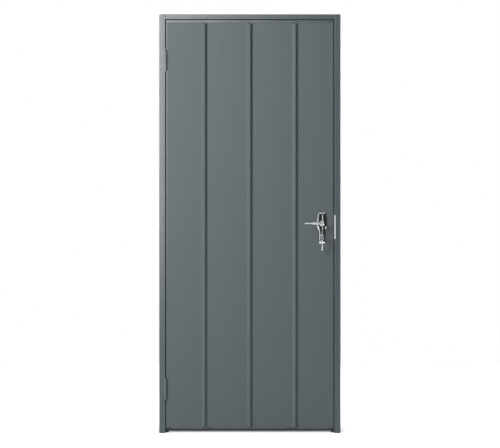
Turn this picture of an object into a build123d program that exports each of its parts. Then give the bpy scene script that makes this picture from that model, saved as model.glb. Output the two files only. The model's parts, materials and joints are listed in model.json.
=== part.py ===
from math import cos, radians, sin, tan
import os

from build123d import *

# A painted steel door in its pressed steel frame, seen from the side it opens towards.
# X runs along the width, Y through the wall away from the viewer, Z up.
# The origin is on the floor, mid width, in the middle of the leaf's thickness. Millimetres.

# Overall sizes: the frame is the leaf with its gaps and the frame's faces around it
leaf_width = 813.0
leaf_height = 1981.0
leaf_thickness = 40.0
side_gap = 3.5
head_gap = 4.0
floor_gap = 22.0
jamb_face = 30.0
head_face = 25.0

# Frame section
frame_sheet = 1.5
frame_depth = 75.0
stop_width = 15.0
stop_gap = 2.0
return_lip = 12.0
face_bead = 9.0
bead_height = 0.8
frame_bend = 2.5
inner_bend = 1.0
corner_radius = 5.0
threshold_height = 30.0
threshold_lift = 8.0
fixing_radius = 4.5
fixing_from_floor = 110.0
fixing_from_top = 122.0
fixings = 4

# Leaf sheets
skin = 1.2
skin_bend = 2.0
back_flange = 15.0
seam_play = 0.05
stile_sheet = 1.5
stile_flange = 30.0
channel_flange = 30.0
bottom_recess = 8.0

# Pressed ribs
rib_pitch = 220.0
rib_width = 28.0
rib_height = 9.5
rib_crest = 3.0
rib_crest_radius = 4.0
rib_root_radius = 5.0
rib_top_margin = 13.0
rib_bottom_margin = 2.5
margin_lean = 1.5

# Notches in the leaf's bottom edge
drain_x = 190.0
drain_width = 22.0
drain_height = 5.5
corner_notch_width = 22.0
corner_notch_height = 5.0

# Hinges
hinge_height = 100.0
hinge_from_edge = 193.0
knuckle_radius = 6.0
pin_radius = 3.0
running_play = 0.05
hinge_plate = 3.0
hinge_plate_back = 10.0
pin_proud = 4.0
knuckles = 5
knuckle_play = 0.4
cutout_play = 0.4
hinge_notch = 56.0
backing = 5.0
screw_rows = (-38.0, -14.0, 14.0, 38.0)

# Lock
backset = 57.0
spindle_height = 1017.0
key_drop = 57.0
case_depth = 73.0
case_thickness = 15.0
case_below_spindle = 79.0
case_above_spindle = 41.0
case_sheet = 1.5
forend_thickness = 3.0
forend_width = 25.0
forend_past_case = 18.0
latch_above_spindle = 10.0
latch_height = 18.0
latch_thickness = 11.0
latch_throw = 12.0
latch_travel = 11.0
bolt_below_spindle = 19.0
bolt_height = 26.0
bolt_thickness = 10.0
bolt_throw = 14.0
guide_play = 0.3

# Strike
strike_past_bolt = 30.0
strike_past_latch = 13.0
strike_sheet = 1.5
lip_sheet = 1.2
lip_width = 8.0
lip_lean = 10.5

# Handles
plate_above_spindle = 53.0
plate_below_spindle = 97.0
plate_base = 2.0
plate_body = 6.0
plate_outline = ((53.0, 23.0), (38.0, 23.2), (18.0, 24.4), (0.0, 25.0), (-14.0, 24.2), (-32.0, 21.0),
                 (-56.0, 19.0), (-80.0, 18.0), (-97.0, 17.6))
plate_dome = ((51.6, 18.5, 2.2), (48.0, 19.5, 4.2), (38.0, 20.6, 5.2), (18.0, 23.0, 6.0), (0.0, 24.0, 6.0),
              (-12.0, 23.2, 6.0), (-32.0, 18.0, 6.0), (-56.0, 15.6, 5.6), (-80.0, 14.4, 5.2),
              (-92.0, 14.0, 4.4), (-95.6, 13.4, 2.2))
plate_screws_from_spindle = (46.0, -88.0)
plate_screw_depth = 4.0
boss_radius = 13.0
boss_play = 0.3
lever_reach = 84.0
lever_projection = 49.5
neck_radius = 6.0
spindle_side = 8.0
square_play = 0.1

# Hanging key
wire_radius = 1.1
key_turned = 28.0

# Places that follow from the sizes
frame_width = leaf_width + 2 * (side_gap + jamb_face)
frame_height = floor_gap + leaf_height + head_gap + head_face
half_frame = frame_width / 2
half_leaf = leaf_width / 2
front_y = -leaf_thickness / 2
back_y = leaf_thickness / 2
web_x = half_frame - jamb_face
stop_y = back_y + stop_gap
soffit_x = web_x - stop_width
frame_back_y = front_y + frame_depth
leaf_bottom = floor_gap
leaf_top = leaf_bottom + leaf_height
head_z = leaf_top + head_gap
soffit_z = head_z - stop_width
axis_x = -(web_x + half_leaf) / 2
axis_y = front_y - pin_proud
spindle_x = half_leaf - backset
key_z = spindle_height - key_drop
case_left = half_leaf - forend_thickness - case_depth
case_right = half_leaf - forend_thickness
hinge_centres = (leaf_bottom + hinge_from_edge, leaf_top - hinge_from_edge)
fixing_pitch = (frame_height - fixing_from_floor - fixing_from_top) / (fixings - 1)
fixing_heights = [fixing_from_floor + i * fixing_pitch for i in range(fixings)]
case_bottom = spindle_height - case_below_spindle
case_top = spindle_height + case_above_spindle
forend_bottom = case_bottom - forend_past_case
forend_top = case_top + forend_past_case
latch_bottom = spindle_height + latch_above_spindle
latch_top = latch_bottom + latch_height
bolt_top = spindle_height - bolt_below_spindle
bolt_bottom = bolt_top - bolt_height
strike_bottom = bolt_bottom - strike_past_bolt
strike_top = latch_top + strike_past_latch
stiffener_x = rib_pitch / 2

os.makedirs("parts", exist_ok=True)


def save(part, name):
    """Label a finished piece and write it under its own name."""
    part.label = name
    export_step(part, f"parts/{name}.step")


def folded_section(points, bends, sheet, side):
    """The closed outline of a folded sheet, drawn along its visible face."""
    with BuildSketch() as section:
        with BuildLine():
            FilletPolyline(*points, radius=bends)
            offset(amount=sheet, side=side)
        make_face()
    return section.sketch


def block(x, y, z):
    """A plain block between three pairs of limits."""
    with BuildPart() as solid:
        with BuildSketch(Plane.XY.offset(z[0])):
            with Locations(((x[0] + x[1]) / 2, (y[0] + y[1]) / 2)):
                Rectangle(x[1] - x[0], y[1] - y[0])
        extrude(amount=z[1] - z[0])
    return solid.part


def rod(start, axis, radius, length):
    """A round rod from a point, along an axis."""
    with BuildPart() as solid:
        with BuildSketch(Plane(origin=start, z_dir=axis)):
            Circle(radius)
        extrude(amount=length)
    return solid.part


def countersunk_screw(head, axis, radius, length):
    """A countersunk screw with a cross recess, its flat head at a point, driven along an axis."""
    head_radius = radius * 2
    with BuildPart() as screw:
        with BuildSketch(Plane(origin=head, z_dir=axis)):
            Circle(head_radius)
        with BuildSketch(Plane(origin=head, z_dir=axis).offset(radius)):
            Circle(radius)
        loft()
        with BuildSketch(Plane(origin=head, z_dir=axis).offset(radius)):
            Circle(radius)
        extrude(amount=length - radius)
        with BuildSketch(Plane(origin=head, z_dir=axis)):
            Rectangle(head_radius * 1.1, radius * 0.35)
            Rectangle(radius * 0.35, head_radius * 1.1)
        extrude(amount=radius * 0.8, mode=Mode.SUBTRACT)
    return screw.part


def countersink(head, axis, radius, length, play=0.0):
    """The hole that takes such a screw."""
    with BuildPart() as hole:
        with BuildSketch(Plane(origin=head, z_dir=axis)):
            Circle(radius * 2 + play)
        with BuildSketch(Plane(origin=head, z_dir=axis).offset(radius)):
            Circle(radius + play)
        loft()
        with BuildSketch(Plane(origin=head, z_dir=axis)):
            Circle(radius + play)
        extrude(amount=length)
    return hole.part


def rounded_front():
    """The frame's upright outline with its small rounded top corners, deep enough to trim the frame."""
    with BuildPart() as outline:
        with BuildSketch(Plane.XZ.offset(frame_depth)) as front:
            with Locations((0, frame_height / 2)):
                Rectangle(frame_width, frame_height)
            fillet(front.vertices().group_by(Axis.Y)[-1], corner_radius)
        extrude(amount=-2 * frame_depth)
    return outline.part


# The jambs: one folded sheet each, standing the full height
jamb_points = [
    (-half_frame, frame_back_y - return_lip),
    (-half_frame, frame_back_y),
    (-soffit_x, frame_back_y),
    (-soffit_x, stop_y),
    (-web_x, stop_y),
    (-web_x, front_y - bead_height),
    (-web_x - face_bead, front_y - bead_height),
    (-web_x - face_bead - bead_height, front_y),
    (-half_frame, front_y),
    (-half_frame, front_y + return_lip),
]
jamb_bends = [frame_bend, frame_bend, frame_bend, inner_bend, frame_bend, 0.4, 0.4, frame_bend]
mount_y = (front_y + stop_y) / 2


def jamb(side):
    """A jamb, for the hinge side at -1 and the lock side at 1."""
    points = [(-side * x, y) for x, y in jamb_points]
    with BuildPart() as piece:
        turned = Side.LEFT if side < 0 else Side.RIGHT
        extrude(folded_section(points, jamb_bends, frame_sheet, turned), amount=frame_height)
        add(rounded_front(), mode=Mode.INTERSECT)
        for height in fixing_heights:
            start = (side * (web_x - 1), mount_y, height)
            add(rod(start, (side, 0, 0), fixing_radius, 4), mode=Mode.SUBTRACT)
    return piece.part


with BuildPart() as hinge_jamb:
    add(jamb(-1))
    for centre in hinge_centres:
        # a slot for the hinge leaf, and a notch for the knuckles in the edge of the face
        low, high = centre - hinge_height / 2 - cutout_play, centre + hinge_height / 2 + cutout_play
        add(block((-web_x - 2, -web_x + 1), (front_y, hinge_plate_back + cutout_play), (low, high)),
            mode=Mode.SUBTRACT)
        reach = axis_x - knuckle_radius - cutout_play
        add(block((reach, -web_x + 1), (front_y - 2, axis_y + knuckle_radius + cutout_play),
                  (centre - hinge_notch, centre + hinge_notch)), mode=Mode.SUBTRACT)
save(hinge_jamb.part, "hinge_jamb")

strike_hole_latch = (latch_bottom - 1.5, latch_top + 1.5)
strike_hole_bolt = (bolt_bottom - 2, bolt_top + 2)
strike_hole_y = (-7.0, 7.0)
strike_screw_z = (strike_bottom + 7, strike_top - 6)

with BuildPart() as lock_jamb:
    add(jamb(1))
    for low, high in (strike_hole_latch, strike_hole_bolt):
        add(block((web_x - 1, web_x + 3), strike_hole_y, (low, high)), mode=Mode.SUBTRACT)
    for z in strike_screw_z:
        add(rod((web_x - 1, 0, z), (1, 0, 0), 2.2, 4), mode=Mode.SUBTRACT)
save(lock_jamb.part, "lock_jamb")

# The head: the same fold, lying between the jambs, its stop cut back to pass between theirs
with BuildPart() as frame_head:
    head_points = [
        (front_y + return_lip, frame_height),
        (front_y, frame_height),
        (front_y, head_z + face_bead + bead_height),
        (front_y - bead_height, head_z + face_bead),
        (front_y - bead_height, head_z),
        (stop_y, head_z),
        (stop_y, soffit_z),
        (frame_back_y, soffit_z),
        (frame_back_y, frame_height),
        (frame_back_y - return_lip, frame_height),
    ]
    head_bends = [frame_bend, 0.4, 0.4, frame_bend, inner_bend, frame_bend, frame_bend, frame_bend]
    with BuildSketch(Plane.YZ.offset(-web_x)):
        add(folded_section(head_points, head_bends, frame_sheet, Side.LEFT))
    extrude(amount=2 * web_x)
    for side in (-1, 1):
        ends = sorted((side * soffit_x, side * (web_x + 1)))
        add(block(ends, (stop_y, frame_back_y + 1), (soffit_z - 1, frame_height + 1)),
            mode=Mode.SUBTRACT)
        corner = sorted((side * (web_x - inner_bend - 0.2), side * (web_x + 1)))
        add(block(corner, (stop_y - inner_bend - 0.2, stop_y + 1), (soffit_z - 1, frame_height + 1)),
            mode=Mode.SUBTRACT)
save(frame_head.part, "frame_head")

# The threshold: an upturned channel behind the leaf's bottom edge, welded between the soffits
with BuildPart() as threshold:
    low, high = threshold_lift, threshold_lift + threshold_height
    threshold_points = [(stop_y, low), (stop_y, high), (frame_back_y, high), (frame_back_y, low)]
    with BuildSketch(Plane.YZ.offset(-soffit_x)):
        add(folded_section(threshold_points, [frame_bend, frame_bend], frame_sheet, Side.RIGHT))
    extrude(amount=2 * soffit_x)
save(threshold.part, "threshold")


# The strike: a folded plate in the rebate, its lip lying on the face of the jamb
with BuildPart() as strike_plate:
    with BuildSketch(Plane.XY.offset(strike_bottom)):
        with Locations((web_x - strike_sheet / 2, (front_y - bead_height + 12) / 2)):
            Rectangle(strike_sheet, 12 - front_y + bead_height)
        # the lip stands a little off the face at its free edge, to lead the latch in
        start_x, start_y = web_x - strike_sheet, front_y - bead_height
        along = (lip_width * cos(radians(lip_lean)), -lip_width * sin(radians(lip_lean)))
        with BuildLine():
            Polyline((start_x, start_y + 1), (start_x, start_y - lip_sheet),
                     (start_x + along[0], start_y - lip_sheet + along[1]),
                     (start_x + along[0] + 0.2, start_y + along[1]), (start_x + strike_sheet, start_y),
                     (start_x + strike_sheet, start_y + 1), close=True)
        make_face()
    extrude(amount=strike_top - strike_bottom)
    fillet(strike_plate.edges().filter_by(Axis.Z).sort_by(lambda e: e.center().X + e.center().Y)[0], 1.0)
    free_corners = strike_plate.edges().filter_by(lambda e: e.length < 2 and e.center().X > web_x + 4)
    fillet(free_corners, 2.0)
    for low, high in (strike_hole_latch, strike_hole_bolt):
        add(block((web_x - 3, web_x + 1), strike_hole_y, (low, high)), mode=Mode.SUBTRACT)
    for z in strike_screw_z:
        add(countersink((web_x - strike_sheet, 0, z), (1, 0, 0), 1.8, 4), mode=Mode.SUBTRACT)
save(strike_plate.part, "strike_plate")

with BuildPart() as strike_screws:
    for z in strike_screw_z:
        add(countersunk_screw((web_x - strike_sheet, 0, z), (1, 0, 0), 1.8, 12))
save(strike_screws.part, "strike_screws")

# The box behind the strike that keeps mortar out of its holes
with BuildPart() as strike_box:
    box_x = (web_x + frame_sheet, web_x + frame_sheet + 20)
    box_z = (strike_hole_bolt[0] - 6, strike_hole_latch[1] + 2.5)
    add(block(box_x, (-12, 12), box_z))
    offset(amount=-1.0, openings=strike_box.faces().sort_by(Axis.X)[0])
save(strike_box.part, "strike_box")


# Hinges: butt hinges with fixed pins, a leaf on the jamb and a leaf on the door
def knuckle_spans(centre):
    """The heights of the five knuckles of a hinge."""
    step = hinge_height / knuckles
    base = centre - hinge_height / 2
    return [(base + i * step + knuckle_play / 2, base + (i + 1) * step - knuckle_play / 2)
            for i in range(knuckles)]


def hinge_leaf(centre, side, own):
    """One leaf of a hinge with its own knuckles: side -1 lies on the jamb, 1 on the door."""
    inner = -web_x if side < 0 else -half_leaf
    span_x = sorted((inner, inner + side * hinge_plate))
    edge_y = axis_y + knuckle_radius + cutout_play
    with BuildPart() as leaf:
        add(block(span_x, (edge_y, hinge_plate_back),
                  (centre - hinge_height / 2, centre + hinge_height / 2)))
        for low, high in own:
            add(rod((axis_x, axis_y, low), (0, 0, 1), knuckle_radius, high - low))
            add(block(span_x, (axis_y, edge_y), (low, high)))
        add(rod((axis_x, axis_y, centre - hinge_height), (0, 0, 1), pin_radius + running_play,
                2 * hinge_height), mode=Mode.SUBTRACT)
        for row, dz in enumerate(screw_rows):
            head = (inner, -10 + 12 * (row % 2), centre + dz)
            add(countersink(head, (side, 0, 0), 2.4, 6), mode=Mode.SUBTRACT)
    return leaf.part


def hinge_screws(side):
    """The countersunk screws of both hinges on one side."""
    inner = -web_x if side < 0 else -half_leaf
    with BuildPart() as screws:
        for centre in hinge_centres:
            for row, dz in enumerate(screw_rows):
                head = (inner, -10 + 12 * (row % 2), centre + dz)
                add(countersunk_screw(head, (side, 0, 0), 2.4, 9))
    return screws.part


for name, centre in zip(("lower", "upper"), hinge_centres):
    spans = knuckle_spans(centre)
    save(hinge_leaf(centre, -1, spans[0::2]), f"{name}_hinge_frame_leaf")
    save(hinge_leaf(centre, 1, spans[1::2]), f"{name}_hinge_door_leaf")
    with BuildPart() as hinge_pin:
        add(rod((axis_x, axis_y, centre - hinge_height / 2), (0, 0, 1), pin_radius, hinge_height))
        for z in (centre - hinge_height / 2 - 2.5, centre + hinge_height / 2):
            add(rod((axis_x, axis_y, z), (0, 0, 1), knuckle_radius - 0.5, 2.5))
        fillet(hinge_pin.edges().group_by(Axis.Z)[-1], 1.5)
    save(hinge_pin.part, f"{name}_hinge_pin")

with BuildPart() as jamb_hinge_backings:
    for centre in hinge_centres:
        back = -web_x - frame_sheet
        add(block((back - backing, back), (-15, 15), (centre - 60, centre + 60)))
        add(block((-web_x - hinge_plate, back + 1), (-16, hinge_plate_back + cutout_play),
                  (centre - hinge_height / 2 - cutout_play, centre + hinge_height / 2 + cutout_play)),
            mode=Mode.SUBTRACT)
        for row, dz in enumerate(screw_rows):
            start = (-web_x, -10 + 12 * (row % 2), centre + dz)
            add(rod(start, (-1, 0, 0), 2.45, 12), mode=Mode.SUBTRACT)
save(jamb_hinge_backings.part, "jamb_hinge_backings")
save(hinge_screws(-1), "frame_hinge_screws")
save(hinge_screws(1), "door_hinge_screws")


# The leaf's front sheet: pressed with three upright ribs, its long edges folded back
def rib_form(x, lift):
    """The raised form of one rib, its ends sloping like its flanks."""
    low, high = leaf_bottom + rib_bottom_margin, leaf_top - rib_top_margin
    slope = (rib_width - rib_crest) / 2
    with BuildPart() as form:
        with BuildSketch(Plane.XZ.offset(-front_y - lift)):
            with Locations((x, (low + high) / 2)):
                Rectangle(rib_width, high - low)
        with BuildSketch(Plane.XZ.offset(-front_y - lift + rib_height)):
            with Locations((x, (low + high) / 2)):
                Rectangle(rib_crest, high - low - 2 * slope)
        loft(ruled=True)
        crest = form.faces().sort_by(Axis.Y)[0]
        fillet(crest.edges().filter_by(Axis.Z), rib_crest_radius)
    return form.part


rib_places = (-rib_pitch, 0.0, rib_pitch)
wall_x = half_leaf - skin
handle_screws = [(spindle_x, spindle_height + dz) for dz in plate_screws_from_spindle]
front_skin_points = [(-half_leaf, back_y - skin), (-half_leaf, front_y), (half_leaf, front_y),
                     (half_leaf, back_y - skin)]


def leaning_margin(lift):
    """The wedge that makes the margin above the ribs lean back."""
    low = leaf_top - rib_top_margin
    with BuildPart() as wedge:
        with BuildSketch(Plane.YZ.offset(-half_leaf + skin_bend)):
            with BuildLine():
                Polyline((front_y + lift, low), (front_y + lift - margin_lean, low + 1.5),
                         (front_y + lift, leaf_top), close=True)
            make_face()
        extrude(amount=leaf_width - 2 * skin_bend)
    return wedge.part


def handle_openings(y, depth):
    """The holes that a sheet of the leaf needs for the spindle, the key and the plate's screws."""
    with BuildPart() as holes:
        add(rod((spindle_x, y, spindle_height), (0, 1, 0), 10, depth))
        add(rod((spindle_x, y, key_z), (0, 1, 0), 5, depth))
        add(block((spindle_x - 3, spindle_x + 3), (y, y + depth), (key_z - 14, key_z)))
        for x, z in handle_screws:
            add(rod((x, y, z), (0, 1, 0), 1.9, depth))
    return holes.part


hinge_cuts = []
for centre in hinge_centres:
    hinge_cuts.append(block((-half_leaf - 1, axis_x + knuckle_radius + cutout_play),
                            (front_y - 2, axis_y + knuckle_radius + cutout_play),
                            (centre - hinge_notch, centre + hinge_notch)))
    hinge_cuts.append(block((-half_leaf - 1, -half_leaf + hinge_plate), (front_y, hinge_plate_back + cutout_play),
                            (centre - hinge_height / 2 - cutout_play, centre + hinge_height / 2 + cutout_play)))
forend_cut = block((case_right, half_leaf + 1),
                   (-forend_width / 2 - 0.2, forend_width / 2 + 0.2),
                   (forend_bottom - 0.3, forend_top + 0.3))

with BuildPart() as front_skin:
    with BuildSketch(Plane.XY.offset(leaf_bottom)):
        add(folded_section(front_skin_points, [skin_bend, skin_bend], skin, Side.LEFT))
    extrude(amount=leaf_height)
    for x in rib_places:
        add(rib_form(x, 0))
    roots = front_skin.edges().filter_by(
        lambda e: abs(e.center().Y - front_y) < 0.01 and e.bounding_box().size.Y < 0.01
        and abs(e.center().X) < half_leaf - 20
        and leaf_bottom + 1 < e.center().Z < leaf_top - 1)
    fillet(roots, rib_root_radius)
    add(leaning_margin(0))
    for x in rib_places:
        add(rib_form(x, skin), mode=Mode.SUBTRACT)
    add(leaning_margin(skin), mode=Mode.SUBTRACT)
    for x in (-drain_x, drain_x):
        add(block((x - drain_width / 2, x + drain_width / 2), (front_y - 2, front_y + 3),
                  (leaf_bottom - 1, leaf_bottom + drain_height)), mode=Mode.SUBTRACT)
    for side in (-1, 1):
        span = sorted((side * (half_leaf - corner_notch_width), side * (half_leaf + 1)))
        add(block(span, (front_y - 2, front_y + 3), (leaf_bottom - 1, leaf_bottom + corner_notch_height)),
            mode=Mode.SUBTRACT)
    for cut in hinge_cuts:
        add(cut, mode=Mode.SUBTRACT)
    add(forend_cut, mode=Mode.SUBTRACT)
    add(handle_openings(front_y - 1, 5), mode=Mode.SUBTRACT)
save(front_skin.part, "front_skin")

# The back sheet: plain, its edges folded in behind the front sheet's
with BuildPart() as back_skin:
    inner_x = wall_x - seam_play
    add(block((-half_leaf, half_leaf), (back_y - skin, back_y), (leaf_bottom, leaf_top)))
    fillet(back_skin.edges().filter_by(Axis.Z).group_by(Axis.Y)[-1], skin - 0.2)
    for side in (-1, 1):
        span = sorted((side * inner_x, side * (inner_x - skin)))
        add(block(span, (back_y - skin - back_flange, back_y - skin), (leaf_bottom, leaf_top)))
    for cut in hinge_cuts:
        add(cut, mode=Mode.SUBTRACT)
    add(forend_cut, mode=Mode.SUBTRACT)
    add(handle_openings(back_y - 4, 5), mode=Mode.SUBTRACT)
save(back_skin.part, "back_skin")

# The channels that close the leaf above and below, and stiffen it inside
inside_y = back_y - skin
stile_outer = half_leaf - forend_thickness
stile_low = leaf_bottom + bottom_recess + skin + channel_flange + 2
stile_high = leaf_top - channel_flange - 4


def cross_channel(web, reach):
    """A channel across the leaf, its web at one height and its flanges reaching to another."""
    points = [(-inside_y, reach), (-inside_y, web), (inside_y, web), (inside_y, reach)]
    turned = Side.LEFT if reach > web else Side.RIGHT
    with BuildPart() as channel:
        with BuildSketch(Plane.YZ.offset(-wall_x + skin + 0.1)):
            add(folded_section(points, [skin_bend, skin_bend], skin, turned))
        extrude(amount=2 * (wall_x - skin - 0.1))
    return channel.part


with BuildPart() as top_channel:
    add(cross_channel(leaf_top, leaf_top - channel_flange))
    add(leaning_margin(skin), mode=Mode.SUBTRACT)
save(top_channel.part, "top_channel")

with BuildPart() as bottom_channel:
    web = leaf_bottom + bottom_recess
    add(cross_channel(web, web + channel_flange))
save(bottom_channel.part, "bottom_channel")


def upright_channel(web, reach):
    """A channel that stands between the two skins, its web at one place across the leaf."""
    points = [(reach, -inside_y), (web, -inside_y), (web, inside_y), (reach, inside_y)]
    turned = Side.LEFT if reach < web else Side.RIGHT
    with BuildPart() as channel:
        with BuildSketch(Plane.XY.offset(stile_low)):
            add(folded_section(points, [skin_bend, skin_bend], stile_sheet, turned))
        extrude(amount=stile_high - stile_low)
    return channel.part


with BuildPart() as hinge_stile:
    add(upright_channel(-stile_outer, -stile_outer + stile_flange))
    for centre in hinge_centres:
        for row, dz in enumerate(screw_rows):
            start = (-half_leaf, -10 + 12 * (row % 2), centre + dz)
            add(rod(start, (1, 0, 0), 2.45, 12), mode=Mode.SUBTRACT)
        add(block((-half_leaf - 1, axis_x + knuckle_radius + cutout_play),
                  (front_y - 2, axis_y + knuckle_radius + cutout_play),
                  (centre - hinge_notch, centre + hinge_notch)), mode=Mode.SUBTRACT)
save(hinge_stile.part, "hinge_stile")

forend_screw_z = (forend_bottom + 8, forend_top - 8)
with BuildPart() as lock_stile:
    add(upright_channel(stile_outer, stile_outer - stile_flange))
    add(block((stile_outer - 4, stile_outer + 1), (-8.5, 8.5), (case_bottom - 1, case_top + 1)),
        mode=Mode.SUBTRACT)
    for z in forend_screw_z:
        add(rod((stile_outer + 1, 0, z), (-1, 0, 0), 2.6, 4), mode=Mode.SUBTRACT)
save(lock_stile.part, "lock_stile")

for name, web in (("left_stiffener", -stiffener_x), ("right_stiffener", stiffener_x)):
    save(upright_channel(web, web + 25 * (1 if web > 0 else -1)), name)

with BuildPart() as leaf_hinge_backings:
    for centre in hinge_centres:
        face = -stile_outer + stile_sheet
        add(block((face, face + 4), (-15, 15), (centre - 58, centre + 58)))
        for row, dz in enumerate(screw_rows):
            start = (-half_leaf, -10 + 12 * (row % 2), centre + dz)
            add(rod(start, (1, 0, 0), 2.45, 14), mode=Mode.SUBTRACT)
save(leaf_hinge_backings.part, "leaf_hinge_backings")


# The lock: a mortice sash lock with a sprung latch and a dead bolt held by two levers
side_y = case_thickness / 2
inner_y = side_y - case_sheet
follower_radius = 9.0
latch_rod_z = latch_bottom + 12.0
lug_right = spindle_x + 2.3
tail_y = (1.6, 4.0)
tail_z = (bolt_bottom - 6.0, bolt_top - 7.0)
lever_layers = ((-0.6, 1.0), (-2.8, -1.2))
lever_pivot = (spindle_x - 9.0, bolt_top + 2.0)
stump_x = spindle_x + 3.0
gate_z = bolt_top - 14.0
guide_x = spindle_x + 29.0
spring_stop = (spindle_x + 36.0, bolt_top + 9.0)
rivet_places = [(case_left + 5, case_bottom + 5), (case_left + 5, case_top - 5),
                (case_right - 8, case_bottom + 5), (case_right - 8, case_top - 5)]


def case_holes(y, depth):
    """The holes through a side of the case: for the follower, the key and the rivets."""
    with BuildPart() as holes:
        add(rod((spindle_x, y, spindle_height), (0, 1, 0), follower_radius + running_play, depth))
        add(rod((spindle_x, y, key_z), (0, 1, 0), 3.6, depth))
        add(block((spindle_x - 1.7, spindle_x + 1.7), (y, y + depth), (key_z - 12, key_z)))
        for x, z in rivet_places:
            add(rod((x, y, z), (0, 1, 0), 2.0, depth))
    return holes.part


with BuildPart() as lock_case:
    add(block((case_left, case_right), (inner_y, side_y), (case_bottom, case_top)))
    wall = (-inner_y, inner_y)
    add(block((case_left, case_left + case_sheet), wall, (case_bottom, case_top)))
    add(block((case_left, case_right), wall, (case_bottom, case_bottom + case_sheet)))
    add(block((case_left, case_right), wall, (case_top - case_sheet, case_top)))
    bridge_x = spindle_x + 12.5
    add(block((bridge_x, bridge_x + 2), wall, (latch_rod_z - 5, case_top - 1)))
    add(rod((bridge_x - 1, 0, latch_rod_z), (1, 0, 0), 2.8, 4), mode=Mode.SUBTRACT)
    add(case_holes(inner_y - 1, 4), mode=Mode.SUBTRACT)
save(lock_case.part, "lock_case")

with BuildPart() as case_cover:
    add(block((case_left, case_right), (-side_y, -inner_y), (case_bottom, case_top)))
    add(case_holes(-side_y - 1, 4), mode=Mode.SUBTRACT)
save(case_cover.part, "case_cover")

with BuildPart() as case_rivets:
    for x, z in rivet_places:
        add(rod((x, -side_y, z), (0, 1, 0), 2.0, case_thickness))
save(case_rivets.part, "case_rivets")

# The posts that the levers turn on, the bolt slides along and the springs bear against
with BuildPart() as case_posts:
    for x, z, radius in ((*lever_pivot, 2.5), (guide_x, gate_z, 2.4), (*spring_stop, 1.5)):
        add(rod((x, -inner_y, z), (0, 1, 0), radius, 2 * inner_y))
save(case_posts.part, "case_posts")

latch_y = (-latch_thickness / 2, latch_thickness / 2)
bolt_y = (-bolt_thickness / 2, bolt_thickness / 2)
with BuildPart() as forend:
    add(block((case_right, half_leaf), (-forend_width / 2, forend_width / 2), (forend_bottom, forend_top)))
    fillet(forend.edges().filter_by(Axis.X), 3)
    for span_y, low, high in ((latch_y, latch_bottom, latch_top), (bolt_y, bolt_bottom, bolt_top)):
        add(block((case_right - 1, half_leaf + 1), (span_y[0] - guide_play, span_y[1] + guide_play),
                  (low - guide_play, high + guide_play)), mode=Mode.SUBTRACT)
    for z in forend_screw_z:
        add(countersink((half_leaf, 0, z), (-1, 0, 0), 2.1, 6, 0.1), mode=Mode.SUBTRACT)
save(forend.part, "forend")

with BuildPart() as forend_screws:
    for z in forend_screw_z:
        add(countersunk_screw((half_leaf, 0, z), (-1, 0, 0), 2.1, 12))
save(forend_screws.part, "forend_screws")

with BuildPart() as forend_nut_plates:
    face = stile_outer - stile_sheet
    for z in forend_screw_z:
        add(block((face - 4, face), (-10, 10), (z - 8, z + 8)))
        add(rod((half_leaf, 0, z), (-1, 0, 0), 2.15, 14), mode=Mode.SUBTRACT)
save(forend_nut_plates.part, "forend_nut_plates")

with BuildPart() as latch_bolt:
    head_back = half_leaf - 14.5
    nose = half_leaf + latch_throw
    with BuildSketch(Plane.XY.offset(latch_bottom)):
        with BuildLine():
            Polyline((head_back, latch_y[0]), (nose, latch_y[0]), (nose, latch_y[0] + 2.5),
                     (half_leaf + 1, latch_y[1]), (head_back, latch_y[1]), close=True)
        make_face()
    extrude(amount=latch_top - latch_bottom)
    add(rod((spindle_x - 3.7, 0, latch_rod_z), (1, 0, 0), 2.5, head_back - spindle_x + 4.7))
    add(block((lug_right - 6, lug_right), (-2.4, 2.4), (spindle_height + 13, latch_rod_z)))
save(latch_bolt.part, "latch_bolt")

with BuildPart() as latch_spring:
    turns, wire, coil = 7, 0.5, 3.8
    start = (bridge_x + 2 + wire, 0, latch_rod_z)
    length = head_back - bridge_x - 2 - 2 * wire
    with BuildLine():
        path = Helix(length / turns, length, coil, center=start, direction=(1, 0, 0))
    with BuildSketch(Plane(origin=path @ 0, z_dir=path % 0)):
        Circle(wire)
    sweep(is_frenet=True)
save(latch_spring.part, "latch_spring")

# The follower: the lever's square spindle turns it, and its arm draws the latch back
with BuildPart() as follower:
    add(rod((spindle_x, -side_y, spindle_height), (0, 1, 0), follower_radius, case_thickness))
    add(rod((spindle_x, -inner_y + 0.3, spindle_height), (0, 1, 0), 11, 2 * inner_y - 0.6))
    lean = radians(20)
    tip_x, tip_z = spindle_x + 16.5 * sin(lean), spindle_height + 16.5 * cos(lean)
    add(rod((tip_x, -2.5, tip_z), (0, 1, 0), 3, 5))
    with BuildSketch(Plane(origin=(spindle_x, -2.5, spindle_height), x_dir=(sin(lean), 0, cos(lean)),
                           z_dir=(0, 1, 0))):
        with Locations((8.25, 0)):
            Rectangle(16.5, 4)
    extrude(amount=5)
    add(block((spindle_x - spindle_side / 2 - square_play, spindle_x + spindle_side / 2 + square_play),
              (-side_y - 1, side_y + 1),
              (spindle_height - spindle_side / 2 - square_play,
               spindle_height + spindle_side / 2 + square_play)), mode=Mode.SUBTRACT)
save(follower.part, "follower")

with BuildPart() as dead_bolt:
    add(block((half_leaf - 20.5, half_leaf), bolt_y, (bolt_bottom, bolt_top)))
    fillet(dead_bolt.edges().filter_by(Axis.Y).group_by(Axis.X)[-1], 1.0)
    add(block((spindle_x - 13.5, half_leaf - 20), tail_y, tail_z))
    add(block((guide_x - 16.8, guide_x + 2.8), (tail_y[0] - 1, tail_y[1] + 1), (gate_z - 2.6, gate_z + 2.6)),
        mode=Mode.SUBTRACT)
    add(block((spindle_x - 5, spindle_x + 5), (tail_y[0] - 1, tail_y[1] + 1), (tail_z[0] - 1, tail_z[0] + 5)),
        mode=Mode.SUBTRACT)
    add(block((stump_x - 1.8, stump_x + 1.8), (-3.4, tail_y[0] + 0.5), (gate_z - 1.8, gate_z + 1.8)))
save(dead_bolt.part, "dead_bolt")

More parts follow.
